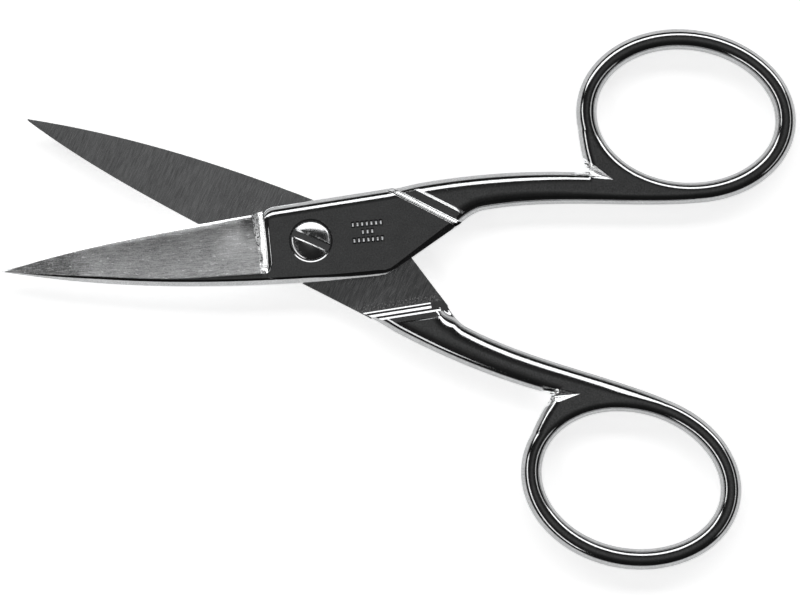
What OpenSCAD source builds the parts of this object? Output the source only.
// Forged snips with two finger bows, lying flat with their blades open.
// Units are millimetres and Z is up. Z = 0 is the outer face of the rear half's block.
// The origin is the foot of the pivot axis, and +X runs towards the bows, midway between
// the halves. Both halves are the same forging, which half_forging() draws as it lies when
// the snips are shut: X along its length, +Y towards its cutting edge and its bow, and
// Z = 0 on the plane where the two halves meet.

/* [Opening] */
// Angle between the halves as they lie
open_angle = 29; // [4:1:90]

/* [Blade] */
// Distance from the pivot to the tip
blade_l = 38.4; // [35:0.2:42]
// Thickness that the spine would have at the tip, before the point is thinned
tip_t = 0.5; // [0.4:0.1:0.9]
// Thickness left at the ground cutting edge
edge_t = 0.12; // [0.08:0.02:0.3]

/* [Block] */
// Thickness of one half at the pivot
block_t = 2; // [1.8:0.1:2.3]
// Running gap between the two flat inner faces
face_gap = 0.04; // [0.02:0.01:0.08]

/* [Shank] */
// Thickness of the shank next to the block
shank_t = 3.2; // [3:0.1:3.4]

/* [Bow] */
// Half the length of the bow, along the middle of its rod
bow_a = 12.5; // [12:0.05:12.9]
// Half the width of the bow, along the middle of its rod
bow_b = 9.65; // [9.2:0.05:9.7]
// Width of the bow's rod, seen from above
rod_w = 2.65; // [2.4:0.05:2.8]
// Thickness of the bow's rod, measured along Z
rod_t = 2.8; // [2.4:0.1:3]

/* [Pivot screw] */
// Diameter of the screw's head
head_d = 5.1; // [4.8:0.1:5.4]
// Height of the domed head above the block's face
dome_h = 0.7; // [0.5:0.05:0.8]
// Diameter of the plain journal that the front half turns on
journal_d = 3.2; // [3:0.1:3.4]
// Diameter of the end that is threaded into the rear half
thread_d = 2.6; // [2.4:0.1:2.8]
// Width of the screwdriver slot
slot_w = 0.8; // [0.6:0.1:1]

/* [Hidden] */

// Fits of the screw: radial clearance on the journal and thread, and around the head
running_fit = 0.02;
head_fit = 0.1;
head_seat = 0.9;
slot_depth = 0.85;

// Blade: where the ground face ends, where the full block starts, the spine's bevel, and the
// steepest slope of the ground face, which thins the very point
plunge_x = -6.6;
block_x = -5.2;
spine_bevel = 0.45;
point_slope = 0.27;
blade_steps = 16;

// Across the outer face, a bevel falls from the block to a narrow bar, and a small ridge rises
// from it to the shank. Across the inner face, a steep step rises to the same bar and ridge.
// Both run along lines whose normal is turned by cross_turn, at these distances from the pivot.
cross_turn = 57.5;
bevel_start = 9.8;
bar_start = 10.55;
bar_end = 11.65;
shank_start = 11.95;
bar_z = 1.35;
step_start = 9.75;
step_end = 10.5;

// Block outline: corners below the pivot, and the heel where the shank leaves
block_low = -5.1;
block_corner = [9.8, -4.65];
heel = [18.25, 0.15];
heel_end_x = 22;
block_end = 12.9;

// Shank: its last station lies inside the bow's rod
shank_end = 48.5;
section_sides = 20;

// Bow: centre, turn, narrowing towards its far end, and facets
bow_centre = [48.2, 11.35];
bow_turn = -11;
bow_taper = 0.02;
bow_steps = 60;
rod_sides = 12;

inner_z = face_gap / 2;
shank_top = shank_t / 2;
layer_z = block_t;
steel = [0.62, 0.63, 0.65];
blued = [0.5, 0.51, 0.53];

// A cubic curve through four heights, for t from 0 to 1
function cubic(h, t) =
    h[0] * pow(1 - t, 3) + 3 * h[1] * t * pow(1 - t, 2) + 3 * h[2] * t * t * (1 - t) + h[3] * pow(t, 3);

// Cutting edge and spine of the blade, as heights over its length
function edge_y(x) = cubic([0.1, 2.75, 3.2, 4.25], (x + blade_l) / (blade_l - 5));
function spine_y(x) = cubic([-0.1, -3.8, -4.95, -5.15], (x + blade_l) / (blade_l + 4));

// Upper edge of the block and shank
function upper_y(x) =
    x < 10 ? 4.75 + (x - block_x) * 0.0625
           : cubic([5.7, 7.2, 6.45, 2.3], (x - 10) / (shank_end - 10));

// Lower edge of the shank: the block's slanted end, a hollow heel, then a long curve to the bow
function lower_y(x) =
    x < heel[0] ? heel[1] + (x - heel[0]) * (heel[1] - block_corner[1]) / (heel[0] - block_corner[0])
    : x < heel_end_x ? heel[1] + (1.95 - heel[1]) * (1 - pow((heel_end_x - x) / (heel_end_x - heel[0]), 1.7))
    : cubic([1.95, 2.65, 0.5, 0.45], (x - heel_end_x) / (shank_end - heel_end_x));

// Thickness of the spine, growing from the tip to the block, and thinned where the point is narrow
function spine_t(x) = min(
    tip_t + (block_t - tip_t) * pow((x + blade_l) / (blade_l + plunge_x), 0.8),
    edge_t + inner_z + point_slope * (edge_y(x) - spine_y(x)));

// A point of a rounded section: u turns round it, and n is how square it is
function round_off(c, n) = sign(c) * pow(abs(c), 2 / n);

// Faces that skin a stack of rings, each with the same number of points
function skin(rings, count) = [
    for (i = [0 : rings - 2]) for (j = [0 : count - 1])
        [i * count + j, i * count + (j + 1) % count, (i + 1) * count + (j + 1) % count, (i + 1) * count + j]
];

// Ring of points of a stack as a flat list, with its two end faces added
module stack(rings_list) {
    count = len(rings_list[0]);
    rings = len(rings_list);
    first = [for (j = [count - 1 : -1 : 0]) j];
    last = [for (j = [0 : count - 1]) (rings - 1) * count + j];
    polyhedron([for (ring = rings_list) each ring], concat([first], skin(rings, count), [last]));
}

// Five corners of the blade at x: inner spine, bevelled spine, outer spine, edge, inner edge
function blade_section(x, spine, edge) =
    let (b = min(spine_bevel, (edge_y(x) - spine_y(x)) / 3))
    [[x, spine_y(x), inner_z], [x, spine_y(x), spine - b], [x, spine_y(x) + b, spine],
     [x, edge_y(x), edge], [x, edge_y(x), inner_z]];

// Hollow-ground blade, with the steep plunge that rises to the block's face
module blade() {
    ground = [for (i = [0 : blade_steps])
        let (x = -blade_l + (blade_l + plunge_x) * pow(i / blade_steps, 1.2))
        blade_section(x, spine_t(x), edge_t + inner_z)];
    root = [for (x = [block_x, block_x + 1]) blade_section(x, block_t, block_t)];
    stack(concat(ground, root));
}

// Flat block round the pivot, up to the ornament line
module block() {
    outline = [
        [block_x, spine_y(block_x)], [0, spine_y(0)], [8, block_low], [block_corner[0] - 0.5, block_low + 0.1],
        block_corner, heel, [19.2, lower_y(19.2)], [20.3, lower_y(20.3)],
        [block_end, upper_y(block_end)], [5, upper_y(5)], [block_x + 0.6, upper_y(block_x)],
        [block_x, edge_y(-5)]
    ];
    translate([0, 0, inner_z]) linear_extrude(block_t - inner_z) polygon(outline);
}

// A cutter with the given profile, which runs across the forging
module across(profile) {
    rotate(cross_turn) rotate([90, 0, 0]) linear_extrude(40, center = true) polygon(profile);
}

// Shank from inside the block to inside the bow's rod, squarish at first and rounder later
module shank() {
    stations = concat([9, 12, 15, 17, heel[0], 18.9, 19.6, 20.6], [for (i = [0 : 11]) 22 + i * (shank_end - 22) / 11]);
    stack([for (x = stations)
        let (half_w = (upper_y(x) - lower_y(x)) / 2, mid = (upper_y(x) + lower_y(x)) / 2,
             far = max(0, (x - 20) / (shank_end - 20)),
             half_t = shank_top - (shank_t - rod_t + 0.3) / 2 * far,
             square = 4.5 - 2.3 * far)
        [for (j = [0 : section_sides - 1])
            let (u = j * 360 / section_sides)
            [x, mid - half_w * round_off(cos(u), square), half_t * round_off(sin(u), square)]]
    ]);
}

// Middle line of the bow's rod, and its direction, at angle v
function bow_point(v) = [bow_a * cos(v), bow_b * sin(v) * (1 - bow_taper * cos(v))];
function bow_way(v) =
    let (d = [-bow_a * sin(v), bow_b * (cos(v) - bow_taper * cos(2 * v))])
    d / norm(d);

// Closed finger bow, with an oval rod
module bow() {
    points = [for (i = [0 : bow_steps - 1], j = [0 : rod_sides - 1])
        let (v = i * 360 / bow_steps, u = j * 360 / rod_sides, p = bow_point(v), d = bow_way(v),
             out = rod_w / 2 * round_off(cos(u), 2.3))
        [p[0] + d[1] * out, p[1] - d[0] * out, rod_t / 2 * round_off(sin(u), 2.3)]];
    faces = [for (i = [0 : bow_steps - 1], j = [0 : rod_sides - 1])
        let (a = i * rod_sides, b = (i + 1) % bow_steps * rod_sides, k = (j + 1) % rod_sides)
        [a + j, a + k, b + k, b + j]];
    translate(bow_centre) rotate(bow_turn) polyhedron(points, faces);
}

// One half of the snips, without its holes
module half_forging() {
    difference() {
        union() {
            blade();
            block();
            difference() {
                shank();
                across([[-30, inner_z], [step_start, inner_z], [step_end, -bar_z], [bar_end, -bar_z],
                        [shank_start, -shank_top - 0.02], [shank_start, -3], [-30, -3]]);
            }
            bow();
        }
        across([[bevel_start, block_t], [bar_start, bar_z], [bar_end, bar_z], [shank_start, shank_top + 0.02],
                [shank_start, block_t + 1], [bevel_start, block_t + 1]]);
    }
}

// Upper half, whose block seats the screw's head
module front_half() {
    color(steel) translate([0, 0, layer_z]) rotate(open_angle / 2) difference() {
        half_forging();
        translate([0, 0, -1]) cylinder(d = journal_d + 2 * running_fit, h = block_t + 2, $fn = 64);
        translate([0, 0, block_t - head_seat]) cylinder(d = head_d + 2 * head_fit, h = 2, $fn = 64);
    }
}

// Lower half, turned over, which the screw is threaded into
module rear_half() {
    color(steel) translate([0, 0, layer_z]) rotate(-open_angle / 2) rotate([180, 0, 0]) difference() {
        half_forging();
        translate([0, 0, -1]) cylinder(d = thread_d + 2 * running_fit, h = block_t + 2, $fn = 64);
    }
}

// Slotted screw: threaded end, journal with a shoulder, and domed head
module pivot_screw() {
    head_z = 2 * block_t - head_seat + running_fit;
    rim_z = 2 * block_t + 0.05;
    top_z = 2 * block_t + dome_h;
    rise = top_z - rim_z;
    dome_r = (pow(head_d / 2, 2) + rise * rise) / (2 * rise);
    color(blued) rotate(-open_angle / 2) difference() {
        union() {
            cylinder(d = thread_d, h = layer_z + 0.1, $fn = 64);
            translate([0, 0, layer_z]) cylinder(d = journal_d, h = head_z - layer_z + 0.1, $fn = 64);
            translate([0, 0, head_z]) rotate_extrude($fn = 96) intersection() {
                square([head_d / 2, top_z - head_z]);
                translate([0, top_z - head_z - dome_r]) circle(dome_r, $fn = 96);
            }
        }
        translate([-head_d, -slot_w / 2, top_z - slot_depth]) cube([2 * head_d, slot_w, 2]);
    }
}

front_half();
rear_half();
pivot_screw();
